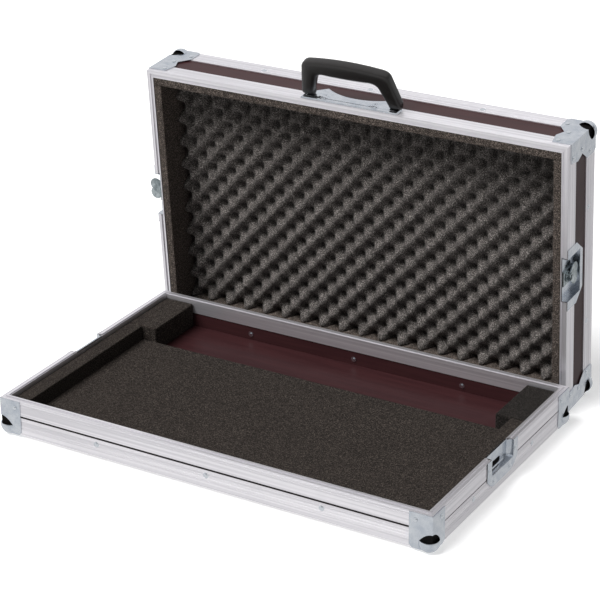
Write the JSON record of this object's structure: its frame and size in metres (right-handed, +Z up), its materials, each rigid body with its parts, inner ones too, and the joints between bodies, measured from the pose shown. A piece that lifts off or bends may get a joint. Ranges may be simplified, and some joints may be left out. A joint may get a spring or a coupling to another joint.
{
  "type": "keyboard case",
  "caption": "Shallow wooden flight case with aluminium edges, foam bed, loose foam-lined lid standing behind it, butterfly latches and a carrying handle.",
  "frame": {"origin": "on the floor, under the centre of the base", "axes": "+X along the case to the right as seen from the front, the base's front faces -Y, +Z up"},
  "size_m": [0.7796, 0.5823, 0.5218],
  "materials": {
    "laminated_plywood": "smooth dark red phenolic film",
    "aluminium_profile": "satin anodised, fine ridges",
    "zinc_plated_steel": "bluish zinc plating",
    "latch_steel": "bright plating",
    "rivet_steel": "plain, slightly dull",
    "pin_steel": "plain",
    "handle_plastic": "black moulded, slightly glossy",
    "grey_foam": "open-cell foam, matt dark grey"
  },
  "bodies": {
    "base": {"base_floor_panel": "laminated_plywood", "base_front_panel": "laminated_plywood", "base_front_closing_profile": "aluminium_profile", "base_front_edge_profile": "aluminium_profile", "base_right_panel": "laminated_plywood", "base_right_closing_profile": "aluminium_profile", "base_right_edge_profile": "aluminium_profile", "base_rear_panel": "laminated_plywood", "base_rear_closing_profile": "aluminium_profile", "base_rear_edge_profile": "aluminium_profile", "base_left_panel": "laminated_plywood", "base_left_closing_profile": "aluminium_profile", "base_left_edge_profile": "aluminium_profile", "base_ball_corners": "zinc_plated_steel", "base_edge_rivets": "rivet_steel", "base_foam_bed": "grey_foam", "base_right_foam_strip": "grey_foam", "base_left_foam_strip": "grey_foam", "base_right_foam_block": "grey_foam", "base_left_foam_block": "grey_foam", "base_right_keeper_dish": "zinc_plated_steel", "base_left_keeper_dish": "zinc_plated_steel"},
    "lid": {"lid_top_panel": "laminated_plywood", "lid_rear_panel": "laminated_plywood", "lid_rear_closing_profile": "aluminium_profile", "lid_rear_edge_profile": "aluminium_profile", "lid_right_panel": "laminated_plywood", "lid_right_closing_profile": "aluminium_profile", "lid_right_edge_profile": "aluminium_profile", "lid_front_panel": "laminated_plywood", "lid_front_closing_profile": "aluminium_profile", "lid_front_edge_profile": "aluminium_profile", "lid_left_panel": "laminated_plywood", "lid_left_closing_profile": "aluminium_profile", "lid_left_edge_profile": "aluminium_profile", "lid_ball_corners": "zinc_plated_steel", "lid_edge_rivets": "rivet_steel", "lid_rear_foam_strip": "grey_foam", "lid_right_foam_strip": "grey_foam", "lid_front_foam_strip": "grey_foam", "lid_left_foam_strip": "grey_foam", "lid_egg_crate_foam": "grey_foam", "lid_right_latch_dish": "zinc_plated_steel", "lid_left_latch_dish": "zinc_plated_steel", "handle_base_plate": "zinc_plated_steel", "handle_pins": "pin_steel"},
    "handle": {"carry_handle": "handle_plastic"},
    "right_cam": {"right_latch_cam": "latch_steel"},
    "right_wing": {"right_latch_wing": "latch_steel"},
    "right_hook": {"right_latch_hook": "latch_steel"},
    "left_cam": {"left_latch_cam": "latch_steel"},
    "left_wing": {"left_latch_wing": "latch_steel"},
    "left_hook": {"left_latch_hook": "latch_steel"}
  },
  "joints": [
    {"name": "lid_lift_off", "type": "slide", "parent": "base", "child": "lid", "axis": [0, 0, 1], "range_m": [0, 0.2]},
    {"name": "handle_swing", "type": "hinge", "parent": "lid", "child": "handle", "pos_m": [-0.0147, 0.23664, 0.46113], "axis": [-1, 0, 0], "range_deg": [0, 106]},
    {"name": "right_latch_turn", "type": "hinge", "parent": "lid", "child": "right_cam", "pos_m": [0.3509, 0.25239, 0.23157], "axis": [1, 0, 0], "range_deg": [0, 180]},
    {"name": "right_wing_fold", "type": "hinge", "parent": "right_cam", "child": "right_wing", "pos_m": [0.3509, 0.25239, 0.23157], "axis": [0, 0.0684, -0.9977], "range_deg": [0, 90]},
    {"name": "right_hook_throw", "type": "slide", "parent": "lid", "child": "right_hook", "axis": [0, -0.9977, -0.0684], "range_m": [0, 0.0163]},
    {"name": "left_latch_turn", "type": "hinge", "parent": "lid", "child": "left_cam", "pos_m": [-0.3803, 0.25239, 0.23157], "axis": [-1, 0, 0], "range_deg": [0, 180]},
    {"name": "left_wing_fold", "type": "hinge", "parent": "left_cam", "child": "left_wing", "pos_m": [-0.3803, 0.25239, 0.23157], "axis": [0, 0.0684, -0.9977], "range_deg": [0, 90]},
    {"name": "left_hook_throw", "type": "slide", "parent": "lid", "child": "left_hook", "axis": [0, -0.9977, -0.0684], "range_m": [0, 0.0163]}
  ],
  "couplings": [
    {"joint": "right_hook_throw", "follows": "right_latch_turn", "m_per_rad": 0.0051884},
    {"joint": "left_hook_throw", "follows": "left_latch_turn", "m_per_rad": 0.0051884}
  ]
}
